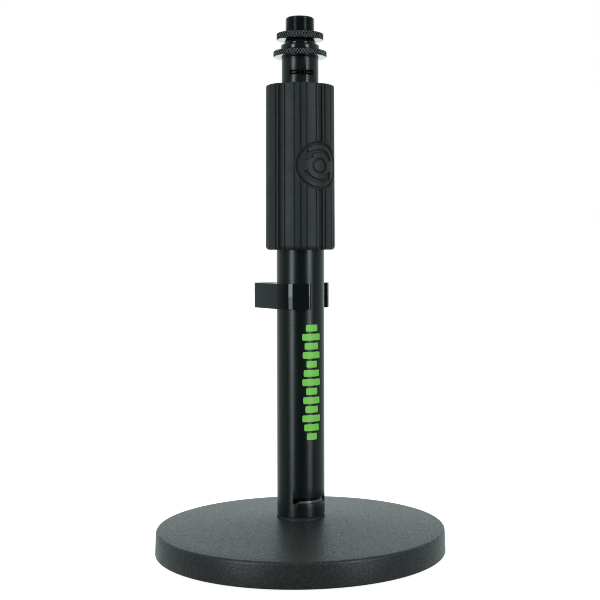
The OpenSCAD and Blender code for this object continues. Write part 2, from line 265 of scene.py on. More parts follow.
def shade(obj, sharp=32.0):
    """Smooth shading, with edges above the sharp angle kept crisp."""
    obj.data.shade_smooth()
    obj.data.set_sharp_from_angle(angle=math.radians(sharp))


def lathe(name, outline, phis, sharp=32.0, closed=True):
    """Turns an outline round Z. outline is a list of (r, z), or a function of phi that gives one.

    An outline that isn't closed starts and ends on the axis.
    """
    at = outline if callable(outline) else lambda phi: outline
    verts = []
    for phi in phis:
        verts += [polar(r, phi, z) for r, z in at(phi)]
    rows = len(at(phis[0]))
    links = rows if closed else rows - 1
    faces = []
    for i in range(len(phis)):
        a, b = i * rows, (i + 1) % len(phis) * rows
        for k in range(links):
            n = (k + 1) % rows
            faces.append((a + k, b + k, b + n, a + n))
    return make_mesh(name, verts, faces, sharp)


def turns(count):
    """The angles of count equal steps round the axis."""
    return [360.0 * i / count for i in range(count)]


def apply_modifiers(obj):
    """Makes the modifiers' result the object's own mesh."""
    graph = bpy.context.evaluated_depsgraph_get()
    mesh = bpy.data.meshes.new_from_object(obj.evaluated_get(graph))
    obj.modifiers.clear()
    obj.data = mesh


def carve(obj, cutters, sharp=32.0):
    """Cuts the cutters out of obj, and removes them."""
    for cutter in cutters:
        cut = obj.modifiers.new("cut", "BOOLEAN")
        cut.operation = "DIFFERENCE"
        cut.solver = "EXACT"
        cut.object = cutter
    apply_modifiers(obj)
    for cutter in cutters:
        bpy.data.objects.remove(cutter)
    shade(obj, sharp)


def soften(obj, width, segments=2, angle=35.0, clamp=True):
    """Rounds the edges above an angle."""
    bevel = obj.modifiers.new("soft_edges", "BEVEL")
    bevel.width = width * MM
    bevel.segments = segments
    bevel.use_clamp_overlap = clamp
    bevel.limit_method = "ANGLE"
    bevel.angle_limit = math.radians(angle)
    bevel.harden_normals = False
    apply_modifiers(obj)
    shade(obj, 40.0)


def sector_cutter(name, inner_r, outer_r, z, h, phi0, phi1):
    """A block that follows the tube's curve, for cutting slots."""
    step_phi = 2.5
    steps = max(2, int(abs(phi1 - phi0) / step_phi))
    verts, faces = [], []
    for i in range(steps + 1):
        phi = phi0 + (phi1 - phi0) * i / steps
        verts += [
            polar(inner_r, phi, z), polar(outer_r, phi, z),
            polar(outer_r, phi, z + h), polar(inner_r, phi, z + h),
        ]
    for i in range(steps):
        a, b = 4 * i, 4 * i + 4
        for k in range(4):
            n = (k + 1) % 4
            faces.append((a + k, a + n, b + n, b + k))
    faces += [(0, 3, 2, 1), tuple(4 * steps + k for k in range(4))]
    return make_mesh(name, verts, faces)


def radial_cutter(name, phi, z, r, inner_r, outer_r, sides=40):
    """A drill along a radius."""
    along, across = Vector(polar(1, phi)), Vector(polar(1, phi + 90))
    verts = []
    for reach in (inner_r, outer_r):
        for i in range(sides):
            a = 2 * math.pi * i / sides
            verts.append(tuple(
                along * reach + across * (r * math.cos(a)) + Vector((0, 0, z + r * math.sin(a)))
            ))
    faces = [(i, (i + 1) % sides, sides + (i + 1) % sides, sides + i) for i in range(sides)]
    faces += [tuple(range(sides)), tuple(range(2 * sides - 1, sides - 1, -1))]
    return make_mesh(name, verts, faces)


# ---- Materials ----

class Nodes:
    """Short forms for building a material's nodes."""

    def __init__(self, name):
        self.material = bpy.data.materials.new(name)
        self.material.use_nodes = True
        self.tree = self.material.node_tree
        self.shader = self.tree.nodes["Principled BSDF"]
        self.place = self.tree.nodes.new("ShaderNodeTexCoord").outputs["Object"]

    def add(self, kind, **values):
        """A new node with its properties set."""
        node = self.tree.nodes.new(kind)
        for key, value in values.items():
            setattr(node, key, value)
        return node

    def put(self, source, target):
        """Links one socket to another."""
        self.tree.links.new(source, target)

    def parts(self, vector):
        """The X, Y and Z sockets of a vector."""
        split = self.add("ShaderNodeSeparateXYZ")
        self.put(vector, split.inputs["Vector"])
        return split.outputs

    def noise(self, scale, detail=3.0, rough=0.55, stretch=(1, 1, 1)):
        """Noise from 0 to 1 whose grains are about 1 / scale metres wide, before the stretch."""
        mapping = self.add("ShaderNodeMapping")
        mapping.inputs["Scale"].default_value = stretch
        self.put(self.place, mapping.inputs["Vector"])
        noise = self.add("ShaderNodeTexNoise")
        noise.inputs["Scale"].default_value = scale
        noise.inputs["Detail"].default_value = detail
        noise.inputs["Roughness"].default_value = rough
        self.put(mapping.outputs["Vector"], noise.inputs["Vector"])
        return noise.outputs["Fac"]

    def spread(self, source, low, high, out_low, out_high):
        """Maps source from low..high to out_low..out_high."""
        node = self.add("ShaderNodeMapRange")
        for key, value in (
            ("From Min", low), ("From Max", high), ("To Min", out_low), ("To Max", out_high),
        ):
            node.inputs[key].default_value = value
        self.put(source, node.inputs["Value"])
        return node.outputs["Result"]

    def mix(self, factor, first, second):
        """A colour between first and second, which are sockets or (r, g, b)."""
        node = self.add("ShaderNodeMix", data_type="RGBA")
        self.put(factor, node.inputs[0])
        for index, colour in ((6, first), (7, second)):
            if isinstance(colour, tuple):
                node.inputs[index].default_value = (*colour, 1)
            else:
                self.put(colour, node.inputs[index])
        return node.outputs[2]

    def bump(self, height, distance, strength=1.0, below=None):
        """A normal bent by a height socket, distance in millimetres, over the normal below it."""
        node = self.add("ShaderNodeBump")
        node.inputs["Strength"].default_value = strength
        node.inputs["Distance"].default_value = distance * MM
        self.put(height, node.inputs["Height"])
        if below is not None:
            self.put(below, node.inputs["Normal"])
        return node.outputs["Normal"]

    def radius(self, low, high):
        """0 at the lower and 1 at the higher distance from Z, in millimetres."""
        flat = self.add("ShaderNodeMapping")
        flat.inputs["Scale"].default_value = (1, 1, 0)
        self.put(self.place, flat.inputs["Vector"])
        length = self.add("ShaderNodeVectorMath", operation="LENGTH")
        self.put(flat.outputs["Vector"], length.inputs[0])
        return self.spread(length.outputs["Value"], low * MM, high * MM, 0.0, 1.0)

    def height(self, low, high):
        """0 at the lower and 1 at the higher place along Z, in millimetres."""
        return self.spread(self.parts(self.place)["Z"], low * MM, high * MM, 0.0, 1.0)

    def set(self, **inputs):
        """Sets or links inputs of the shader, and gives the finished material."""
        for key, value in inputs.items():
            socket = self.shader.inputs[key.replace("_", " ")]
            if isinstance(value, bpy.types.NodeSocket):
                self.put(value, socket)
            elif isinstance(value, tuple):
                socket.default_value = (*value, 1)
            else:
                socket.default_value = value
        return self.material


def powder_coat():
    """Matt black powder coat: a fine pebbled grain with slightly brighter tips."""
    n = Nodes("powder_coat")
    grain = n.noise(1900, 2.0, 0.6)
    pebble = n.noise(900, 2.0, 0.55)
    drift = n.noise(18, 3.0)
    speck = n.spread(pebble, 0.42, 0.66, 0.0, 0.75)
    base = n.mix(drift, (0.0187, 0.0201, 0.0201), (0.0237, 0.0255, 0.0255))
    colour = n.mix(speck, base, (0.058, 0.057, 0.057))
    normal = n.bump(pebble, 0.22, 0.5, n.bump(grain, 0.09, 0.5))
    rough = n.spread(pebble, 0.35, 0.65, 0.46, 0.33)
    return n.set(Base_Color=colour, Roughness=rough, Normal=normal)


def tube_paint():
    """Smooth semi-gloss black paint with a faint orange peel and handling marks."""
    n = Nodes("tube_paint")
    peel = n.noise(420, 2.0, 0.5)
    scuff = n.noise(160, 5.0, 0.65, (1, 1, 0.12))
    drift = n.noise(25, 3.0)
    colour = n.mix(drift, (0.0045, 0.0078, 0.0078), (0.0065, 0.0105, 0.0105))
    rough = n.spread(scuff, 0.35, 0.75, 0.24, 0.33)
    return n.set(Base_Color=colour, Roughness=rough, Normal=n.bump(peel, 0.03, 0.25))


def black_oxide():
    """Black-plated turned steel: fine turning lines and a slightly uneven sheen.

    The plug inside the upper tube is painted nearly black and dull, as painted shade inside the tube.
    """
    n = Nodes("black_oxide")
    lines = n.noise(60, 3.0, 0.6, (1, 1, 90))
    tone = n.noise(240, 4.0, 0.6)
    # Painted shade: below the knurled flange's top, inside the upper tube, the plug gets a near-black
    # colour and almost no specular.
    outside = n.height(FLANGE_HIGH.z - 1.0, FLANGE_HIGH.z - 0.5)
    plated = n.mix(tone, (0.007, 0.010, 0.010), (0.012, 0.017, 0.017))
    return n.set(
        Base_Color=n.mix(outside, (0.001, 0.0012, 0.0012), plated), Metallic=0.1,
        Roughness=n.spread(tone, 0.3, 0.7, 0.12, 0.2),
        Specular_IOR_Level=n.spread(outside, 0.0, 1.0, 0.05, 0.7), Normal=n.bump(lines, 0.02, 0.3),
    )


def plug_oxide():
    """Black plating of the set screw and of the ribs beside it."""
    n = Nodes("plug_oxide")
    tone = n.noise(700, 4.0, 0.6)
    return n.set(
        Base_Color=n.mix(tone, (0.002, 0.003, 0.003), (0.006, 0.008, 0.008)), Metallic=0.1,
        Roughness=n.spread(tone, 0.3, 0.7, 0.22, 0.36), Specular_IOR_Level=0.35,
        Normal=n.bump(tone, 0.02, 0.3),
    )


def knurled_oxide(name, radius):
    """Black plating on a knurl of that outer radius: painted shade darkens the hollows, and a painted
    highlight, partly rubbed wear, brightens the ridges.

    The ring's turned underside is bright and mirrors the room.
    """
    n = Nodes(name)
    tone = n.noise(900, 3.0, 0.6)
    # Painted shade: the hollows get a near-black colour. Painted highlight, partly rubbed wear: the
    # ridges get a bright colour.
    hollow = n.mix(tone, (0.0005, 0.0006, 0.0006), (0.001, 0.0012, 0.0012))
    lighter_tone = n.mix(tone, (0.60, 0.66, 0.66), (0.92, 0.98, 0.98))
    height = n.radius(radius - 0.3 * KNURL_DEPTH, radius - 0.05 * KNURL_DEPTH)
    geometry = n.add("ShaderNodeNewGeometry")
    under = n.spread(n.parts(geometry.outputs["True Normal"])["Z"], -0.97, -0.85, 1.0, 0.0)
    colour = n.mix(under, n.mix(height, hollow, lighter_tone), (0.62, 0.56, 0.56))
    rim_rough = n.spread(tone, 0.3, 0.7, 0.3, 0.44)
    rough = n.add("ShaderNodeMix")
    n.put(under, rough.inputs["Factor"])
    n.put(rim_rough, rough.inputs["A"])
    rough.inputs["B"].default_value = 0.12
    return n.set(
        Base_Color=colour, Metallic=n.spread(under, 0.0, 1.0, 0.3, 1.0),
        Roughness=rough.outputs["Result"], Normal=n.bump(tone, 0.02, 0.2),
    )


def grip_rubber():
    """Moulded rubber: dry and finely grained, with painted shade darkening the rib recesses, and
    greyer patches on the ridges where it is handled.
    """
    n = Nodes("grip_rubber")
    grain = n.noise(2600, 2.0, 0.6)
    mottle = n.noise(110, 4.0, 0.6)
    handled = n.noise(28, 2.0)
    # Painted shade: below the ridges' radius the recesses get this darker colour.
    low = n.mix(mottle, (0.003, 0.005, 0.005), (0.006, 0.009, 0.009))
    high = n.mix(mottle, (0.014, 0.019, 0.019), (0.021, 0.027, 0.027))
    lighter_tone = n.mix(n.spread(handled, 0.4, 0.7, 0.0, 0.5), high, (0.026, 0.033, 0.033))
    colour = n.mix(n.radius(GRIP_TOP_R - 0.75, GRIP_TOP_R - 0.15), low, lighter_tone)
    rough = n.spread(mottle, 0.3, 0.7, 0.5, 0.62)
    return n.set(
        Base_Color=colour, Roughness=rough, Normal=n.bump(grain, 0.05, 0.35),
        Sheen_Weight=0.05, Sheen_Roughness=0.4,
    )


def clip_plastic():
    """Glossy injection-moulded plastic with faint flow waves and hairline scratches."""
    n = Nodes("clip_plastic")
    flow = n.noise(70, 2.0, 0.5, (1, 1, 0.35))
    hair = n.noise(700, 4.0, 0.7, (1, 1, 0.05))
    drift = n.noise(40, 2.0)
    colour = n.mix(drift, (0.005, 0.007, 0.007), (0.008, 0.011, 0.011))
    facing = n.add("ShaderNodeLayerWeight").outputs["Facing"]
    return n.set(
        Base_Color=colour, Roughness=n.spread(hair, 0.4, 0.8, 0.04, 0.1),
        Specular_IOR_Level=n.spread(facing, 0.08, 0.42, 0.56, 0.28), Normal=n.bump(flow, 0.05, 0.1),
    )


def machined_steel():
    """Turned steel of the spigot: bright steel low in the slots, painted shadow on their upper part,
    dull on the flange.
    """
    n = Nodes("machined_steel")
    lines = n.noise(50, 3.0, 0.6, (1, 1, 110))
    tone = n.noise(300, 3.0)
    flange = n.radius(TUBE_R - 1.0, TUBE_R - 0.6)
    # Painted shadow: from just below the slots' middle upwards the steel gets a near-black,
    # non-metallic colour, standing in for the shade under the slots' top edges.
    upper = n.height(SLOT_Z - 0.45, SLOT_Z - 0.15)
    dark = n.mix(tone, (0.001, 0.0015, 0.0015), (0.003, 0.004, 0.004))
    lighter_tone = n.mix(tone, (0.20, 0.21, 0.21), (0.28, 0.29, 0.29))
    dull = n.mix(tone, (0.06, 0.068, 0.068), (0.08, 0.09, 0.09))
    return n.set(
        Base_Color=n.mix(flange, n.mix(upper, lighter_tone, dark), dull),
        Metallic=n.spread(upper, 0.0, 1.0, 0.7, 0.0),
        Roughness=n.spread(flange, 0.0, 1.0, 0.3, 0.5), Specular_IOR_Level=0.15,
        Normal=n.bump(lines, 0.02, 0.4),
    )


def moulded_plastic(name, dark, light, rough=0.5):
    """Moulded plastic with a fine grain, between two tones."""
    n = Nodes(name)
    grain = n.noise(1300, 3.0, 0.6)
    tone = n.noise(90, 3.0)
    return n.set(
        Base_Color=n.mix(tone, dark, light),
        Roughness=n.spread(tone, 0.3, 0.7, rough - 0.06, rough + 0.06),
        Normal=n.bump(grain, 0.02, 0.3),
    )


def soft_rubber():
    """Dull black rubber of the feet and the gasket."""
    n = Nodes("soft_rubber")
    grain = n.noise(1800, 3.0, 0.6)
    tone = n.noise(120, 3.0)
    return n.set(
        Base_Color=n.mix(tone, (0.010, 0.010, 0.010), (0.020, 0.020, 0.020)),
        Roughness=n.spread(tone, 0.3, 0.7, 0.65, 0.8), Normal=n.bump(grain, 0.03, 0.4),
    )


def zinc_plate():
    """Bright zinc: spangled tone and fine scratches."""
    n = Nodes("zinc_plate")
    spangle = n.noise(380, 2.0, 0.5)
    scratch = n.noise(900, 5.0, 0.7, (1, 0.06, 1))
    colour = n.mix(spangle, (0.48, 0.49, 0.48), (0.66, 0.66, 0.63))
    return n.set(
        Base_Color=colour, Metallic=1.0, Roughness=n.spread(scratch, 0.3, 0.8, 0.24, 0.4),
        Normal=n.bump(scratch, 0.01, 0.3),
    )


def print_ink():
    """Screen-printed green ink: a thin satin film with tiny pinholes of tone."""
    n = Nodes("print_ink")
    film = n.noise(1400, 3.0, 0.6)
    tone = n.noise(150, 3.0)
    colour = n.mix(n.spread(film, 0.3, 0.7, 0.0, 1.0), (0.27, 0.86, 0.11), (0.33, 0.95, 0.14))
    return n.set(
        Base_Color=colour, Roughness=n.spread(tone, 0.3, 0.7, 0.36, 0.46),
        Normal=n.bump(film, 0.01, 0.3),
    )


# ---- Pieces ----

def base_casting():
    """The round base: a draughted rim, a soft top edge and a shallow cone, hollowed underneath."""
    under, top = BASE_LOW.z, BASE_HIGH.z
    lean = math.degrees(math.atan2(top - RIM_Z, BASE_R - RIM_DRAFT - HUB_R))
    bevel, curve = UNDER_CHAMFER, HOLLOW_ROUND
    pocket_z = under + BOLT_POCKET_H
    hollow_z = under + HOLLOW_H
    near, far = HOLLOW_R
    outline = [(BOLT_HOLE_R, pocket_z), (BOLT_POCKET_R, pocket_z)]
    outline += [(BOLT_POCKET_R, under + bevel), (BOLT_POCKET_R + bevel, under)]
    outline += [(near - bevel, under), (near, under + bevel)]
    outline += arc((near + curve, hollow_z - curve), curve, 180, 90, 4)
    outline += arc((far - curve, hollow_z - curve), curve, 90, 0, 4)
    outline += [(far, under + bevel), (far + bevel, under)]
    outline += arc((BASE_R - RIM_FOOT_ROUND, under + RIM_FOOT_ROUND), RIM_FOOT_ROUND, -90, 0, 5)
    outline += arc((RIM_TOP_R, RIM_Z - RIM_ROUND), RIM_ROUND, 2, 90 - lean, 9)
    cone_r = HUB_R + HUB_EDGE
    hub_step = 0.05
    slope = (top - hub_step - RIM_Z) / (RIM_TOP_R - cone_r)
    outline += [(r, RIM_Z + (RIM_TOP_R - r) * slope) for r in np.linspace(RIM_TOP_R, cone_r, 9)[1:]]
    seat_r, seat_z = TUBE_R + SEAT_GAP, top - SEAT_DEPTH
    outline += [(HUB_R, top), (seat_r + 0.35, top), (seat_r, top - 0.3), (seat_r, seat_z)]
    outline += [(BOLT_HOLE_R, seat_z)]
    piece = lathe("base_casting", outline, turns(240), 28)

    start_z, floor_z = under - OVERCUT, under + FOOT_POCKET_H
    hole_z = FOOT_HIGH.z + FOOT_HOLE_ROOM
    pocket = [(0, start_z), (FOOT_POCKET_R, start_z), (FOOT_POCKET_R, floor_z)]
    pocket += [(FOOT_HOLE_R, floor_z), (FOOT_HOLE_R, hole_z), (0, hole_z)]
    reach = FOOT_HIGH.x - FOOT_POCKET_R
    cutters = []
    for x in (-reach, reach):
        for y in (-reach, reach):
            cutter = lathe("pocket", pocket, turns(48), closed=False)
            cutter.data.transform(Matrix.Translation((x * MM, y * MM, 0)))
            cutters.append(cutter)
    carve(piece, cutters, 28)
    return piece


def tube_outline(low, high, outer, rows):
    """A tube's wall with chamfered ends, and points between them on its outside."""
    inner = outer - WALL
    edge = TUBE_EDGE
    outline = [(inner, low + edge), (inner + edge, low), (outer - edge, low), (outer, low + edge)]
    outline += rows
    outline += [(outer, high - edge), (outer - edge, high)]
    return outline + [(inner + edge, high), (inner, high - edge)]


def tube_shell():
    """The lower tube with its two J-shaped bayonet slots."""
    low = TUBE_LOW.z
    rows = [(TUBE_R, low + rise) for rise in TUBE_ROWS]
    piece = lathe("tube_shell", tube_outline(low, TUBE_HIGH.z, TUBE_R, rows), turns(144), 30)
    deep, wide = TUBE_R - WALL - OVERCUT, TUBE_R + OVERCUT
    cutters = []
    for turn in (0, 180):
        pin = PIN_PHI + turn
        entry = [phi + turn for phi in ENTRY_PHI]
        slot_low = SLOT_Z - SLOT_H / 2
        cutters += [
            sector_cutter("slot", deep, wide, slot_low, SLOT_H, pin, SLOT_END_PHI + turn),
            radial_cutter("seat", pin, SLOT_Z, SEAT_R, deep, wide),
            sector_cutter("entry", deep, wide, low - OVERCUT, SLOT_Z - low + OVERCUT, *entry),
        ]
    carve(piece, cutters, 30)
    soften(piece, SLOT_ROUND, 3, 60, clamp=False)
    return piece


def mast_shell():
    """The upper tube with its ring grooves and the slot that shows the set screw."""
    floor = MAST_R - RING_GROOVE_DEPTH
    rows = []
    for ring_low in (RING_LOW.z, RING_HIGH.z - RING_H):
        z0, z1 = ring_low - RING_ROOM, ring_low + RING_H + RING_ROOM
        rows += [(MAST_R, z0), (floor, z0), (floor, z1), (MAST_R, z1)]
    rows += [(MAST_R, z) for z in np.linspace(RING_HIGH.z + 20, MAST_HIGH.z - 20, 6)]
    piece = lathe("mast_shell", tube_outline(MAST_LOW.z, MAST_HIGH.z, MAST_R, rows), turns(128), 30)
    deep, wide = MAST_IN_R - OVERCUT, MAST_R + OVERCUT
    slot_low = STUD_SLOT_Z - STUD_SLOT_H / 2
    slot = sector_cutter("slot", deep, wide, slot_low, STUD_SLOT_H, *STUD_SLOT_PHI)
    hole = radial_cutter("hole", SCREW_PHI, STUD_SLOT_Z, SCREW_HOLE_R, deep, wide)
    carve(piece, [slot, hole], 30)
    soften(piece, STUD_SLOT_ROUND)
    return piece


def clip_outline():
    """The clip from above: ring, arm and cable hook, flared rear end."""
    half = CLIP_WALL / 2
    mid_r = CLIP_IN_R + half
    out_r = CLIP_IN_R + CLIP_WALL
    start, arm, end = CLIP_START - 90, ARM_PHI - 90, CLIP_END - 90

    def step(angle, length):
        return np.array((math.cos(math.radians(angle)), math.sin(math.radians(angle)))) * length

    hook = step(arm, mid_r - HOOK_BEND_R) + step(arm - 90, ARM_LEN)
    tip = hook + step(arm - HOOK_TURN, HOOK_BEND_R) + step(arm - 90 - HOOK_TURN, HOOK_TIP)
    flare = step(end, mid_r + FLARE_BEND_R)
    flare_tip = flare - step(end + FLARE_TURN, FLARE_BEND_R) + step(end + FLARE_TURN - 90, FLARE_LEN)
    root = math.degrees(math.acos(CLIP_IN_R / out_r))
    points = arc(tuple(step(start, mid_r)), half, start + 180, start, 14)
    points += arc((0, 0), out_r, start, arm, 36)[1:]
    points += arc(hook, HOOK_BEND_R + half, arm, arm - HOOK_TURN, 24)
    points += arc(tip, half, arm - HOOK_TURN, arm - HOOK_TURN - 180, 12)
    points += arc(hook, HOOK_BEND_R - half, arm - HOOK_TURN, arm, 16)
    points += arc((0, 0), out_r, arm - root, end, 48)
    points += arc(flare, FLARE_BEND_R - half, end + 180, end + 180 + FLARE_TURN, 8)
    points += arc(flare_tip, half, end + FLARE_TURN, end + FLARE_TURN - 180, 12)
    points += arc(flare, FLARE_BEND_R + half, end + 180 + FLARE_TURN, end + 180, 10)
    points += arc((0, 0), CLIP_IN_R, end, start, 72)
    return points


def clip_moulding():
    """The glossy snap-on clip with rounded edges."""
    points = clip_outline()
    count = len(points)
    verts = [(x, y, z) for z in (CLIP_LOW.z, CLIP_HIGH.z) for x, y in points]
    faces = [(i, (i + 1) % count, count + (i + 1) % count, count + i) for i in range(count)]
    faces += [tuple(range(count - 1, -1, -1)), tuple(range(count, 2 * count))]
    piece = make_mesh("clip_moulding", verts, faces, 35)
    soften(piece, CLIP_ROUND, 4, 50)
    return piece


def rib_cuts():
    """The grip's lengthwise cuts: angle of the middle, width and depth of each."""
    cuts = []
    for i in range(RIB_SETS):
        recess = RIB_PHI + i * 360 / RIB_SETS
        middle = recess + 180 / RIB_SETS
        cuts.append((recess, RECESS_W, RECESS_DEPTH))
        cuts += [(recess + k * SIDE_STEP, GROOVE_W, GROOVE_DEPTH) for k in (-1, 1)]
        cuts += [(middle + k * GROOVE_STEP, GROOVE_W, GROOVE_DEPTH) for k in (-1, 0, 1)]
    return cuts


RIB_CUTS = rib_cuts()


def rib_depth(phi):
    """How deep the grip's rib pattern is cut at an angle."""
    depth = 0.0
    for centre, width, full in RIB_CUTS:
        away = abs((phi - centre + 180) % 360 - 180) * math.radians(GRIP_TOP_R)
        if away < width:
            share = 1 - float(smooth(width / 2 - RIB_RAMP, width / 2 + RIB_RAMP, away))
            depth = max(depth, full * share)
    return depth


def twist_mark(across, up):
    """Depth of the generic twist sign on the grip's pad: rings and two curved arrows."""
    rho = math.hypot(across, up)
    angle = math.degrees(math.atan2(up, across)) % 180

    def band(distance, half):
        return 1 - float(smooth(half - MARK_RAMP, half + MARK_RAMP, distance))

    depth = max(deep * band(abs(rho - r), half) for r, half, deep in MARK_RINGS)
    if ARROW_TAIL <= angle <= ARROW_NECK:
        depth = max(depth, ARROW_DEPTH * band(abs(rho - ARROW_R), ARROW_HALF_W))
    elif ARROW_NECK < angle <= ARROW_TIP:
        half = ARROW_HEAD_HALF_W * (ARROW_TIP - angle) / (ARROW_TIP - ARROW_NECK)
        depth = max(depth, ARROW_DEPTH * band(abs(rho - ARROW_R), half))
    return depth


def grip_angles(fine):
    """Angles of the grip's columns: close together on the pad and at the edges of the ribs."""
    pad_half = math.degrees(math.asin((PAD_R + PAD_MARGIN) / GRIP_TOP_R))
    step = math.degrees(fine / GRIP_TOP_R)
    ramp = math.degrees(RIB_RAMP / GRIP_TOP_R)
    phis = set(np.round(np.arange(PAD_PHI - pad_half, PAD_PHI + pad_half, step), 4))
    for centre, width, _ in RIB_CUTS:
        phis |= {round(centre + k * GROOVE_STEP / 3, 4) for k in (-1, 0, 1)}
        for side in (-1, 1):
            edge = centre + side * math.degrees(width / 2 / GRIP_TOP_R)
            phis |= {round(edge + ramp * k / 2, 4) for k in range(-2, 3)}
    return sorted({round(p % 360, 4) for p in phis})


def grip_heights(fine):
    """Heights of the grip's rows between its rounded ends, close together on the pad."""
    low, high = GRIP_LOW.z, GRIP_HIGH.z
    reach = PAD_R + PAD_MARGIN
    pad = list(np.arange(PAD_Z - reach, PAD_Z + reach, fine))
    below = [low + 3, low + 12] + list(np.linspace(low + 20, pad[0] - 0.6, 4))
    return below + pad + list(np.linspace(pad[-1] + 0.6, high - 2, 5))


def grip_rubber_sleeve():
    """The ribbed rubber grip. Its ribs stop at a round pad that carries the twist sign."""
    low, high = GRIP_LOW.z, GRIP_HIGH.z
    zs = grip_heights(GRIP_STEP)
    inner = NUT_HIGH.x + 0.02

    def outline(phi):
        cut = rib_depth(phi)
        turn = math.radians((phi - PAD_PHI + 180) % 360 - 180)
        facing_pad = math.cos(turn) > 0
        points = [(GRIP_LIP_R, low + 0.3), (GRIP_LIP_R + 0.3, low)]
        low_r = GRIP_LOW_R - cut
        points += arc((low_r - GRIP_LOW_ROUND, low + GRIP_LOW_ROUND), GRIP_LOW_ROUND, -90, 0, 5)
        for z in zs:
            full_r = GRIP_LOW_R + (GRIP_TOP_R - GRIP_LOW_R) * (z - low) / (high - low)
            r = full_r - cut
            across, up = PAD_STRETCH * GRIP_TOP_R * turn, z - PAD_Z
            rho = math.hypot(across, up)
            if facing_pad and rho < PAD_R + 1:
                share = 1 - float(smooth(PAD_R - PAD_RAMP, PAD_R + PAD_RAMP, rho))
                r += (full_r - PAD_DEPTH - r) * share - twist_mark(across, up) * share
            points.append((r, z))
        top_r = GRIP_TOP_R - cut
        points += arc((top_r - GRIP_TOP_ROUND, high - GRIP_TOP_ROUND), GRIP_TOP_ROUND, 0, 90, 4)
        points += [(inner + 0.2, high), (inner, high - 0.2), (inner, NUT_LOW.z)]
        return points + [(GRIP_LIP_R, NUT_LOW.z)]

    return lathe("grip_rubber_sleeve", outline, grip_angles(GRIP_STEP), 40)


def nut_core():
    """The grip's core, seen as the ring between the rubber and the upper tube."""
    step_z = span("thrust_washer")[1].z
    neck = MAST_R + 0.2
    dish_z = NUT_HIGH.z - 0.35
    r, low, high = NUT_HIGH.x, NUT_LOW.z, NUT_HIGH.z
    outline = [(NUT_BORE_R, low), (r - 0.3, low), (r, low + 0.3), (r, high - 0.5)]
    outline += arc((r - 0.8, high - 0.8), 0.8, 20, 90, 4)
    outline += [(neck + 2.2, high), (neck + 2.0, dish_z), (neck + 1.2, dish_z)]
    outline += arc((neck + 0.5, dish_z - 0.5), 0.5, 90, 180, 4)
    outline += [(neck, step_z), (NUT_BORE_R, step_z)]
    return lathe("nut_core", outline, turns(128), 30)


def knurl(r, phi, z, count):
    """Radius of a diamond-knurled rim: two families of slanting ridges that cross."""
    across, up = count * phi / 360, z / KNURL_ROW
    ridges = [abs(2 * ((across + side * up) % 1) - 1) for side in (-1, 1)]
    return r - KNURL_DEPTH * min(1.0, KNURL_SLOPE * (1 - max(ridges)))


def knurled_outline(r, low, high, inner_points):
    """An outline function for a rim with a diamond knurl and chamfered edges, and its angles."""
    edge = KNURL_EDGE
    count = round(2 * math.pi * r / KNURL_PITCH)
    rows = int((high - low - 2 * edge) / (KNURL_ROW / KNURL_ROW_STEPS))
    middle = (low + high) / 2
    face_r, lip = r - edge - 0.25, edge * 0.35

    def outline(phi):
        points = [(face_r, low), (r - edge, low + lip)]
        for z in np.linspace(low + edge, high - edge, rows + 1):
            points.append((knurl(r, phi, z - middle, count), z))
        points += [(r - edge, high - lip), (face_r, high)]
        return points + inner_points

    return outline, turns(count * KNURL_STEPS)


def flange_knurl():
    """The fixed collar and its knurled rim."""
    r, low, high = FLANGE_HIGH.x, FLANGE_LOW.z, FLANGE_HIGH.z
    rim_z = low + COLLAR_H
    collar = [(MAST_IN_R, high), (MAST_IN_R, low), (COLLAR_R - 0.2, low), (COLLAR_R, low + 0.2)]
    collar += [(COLLAR_R, rim_z)]
    outline, phis = knurled_outline(r, rim_z, high, collar)
    return lathe("flange_knurl", outline, phis, 50)


def ring_knurl():
    """The lock ring: a knurled rim and a chamfered bore."""
    r, low, high = LOCK_HIGH.x, LOCK_LOW.z, LOCK_HIGH.z
    bore = SHANK_R + 0.05
    bevel = LOCK_CHAMFER
    inner = [(bore + bevel, high), (bore, high - bevel), (bore, low + bevel), (bore + bevel, low)]
    outline, phis = knurled_outline(r, low, high, inner)
    return lathe("ring_knurl", outline, phis, 50)


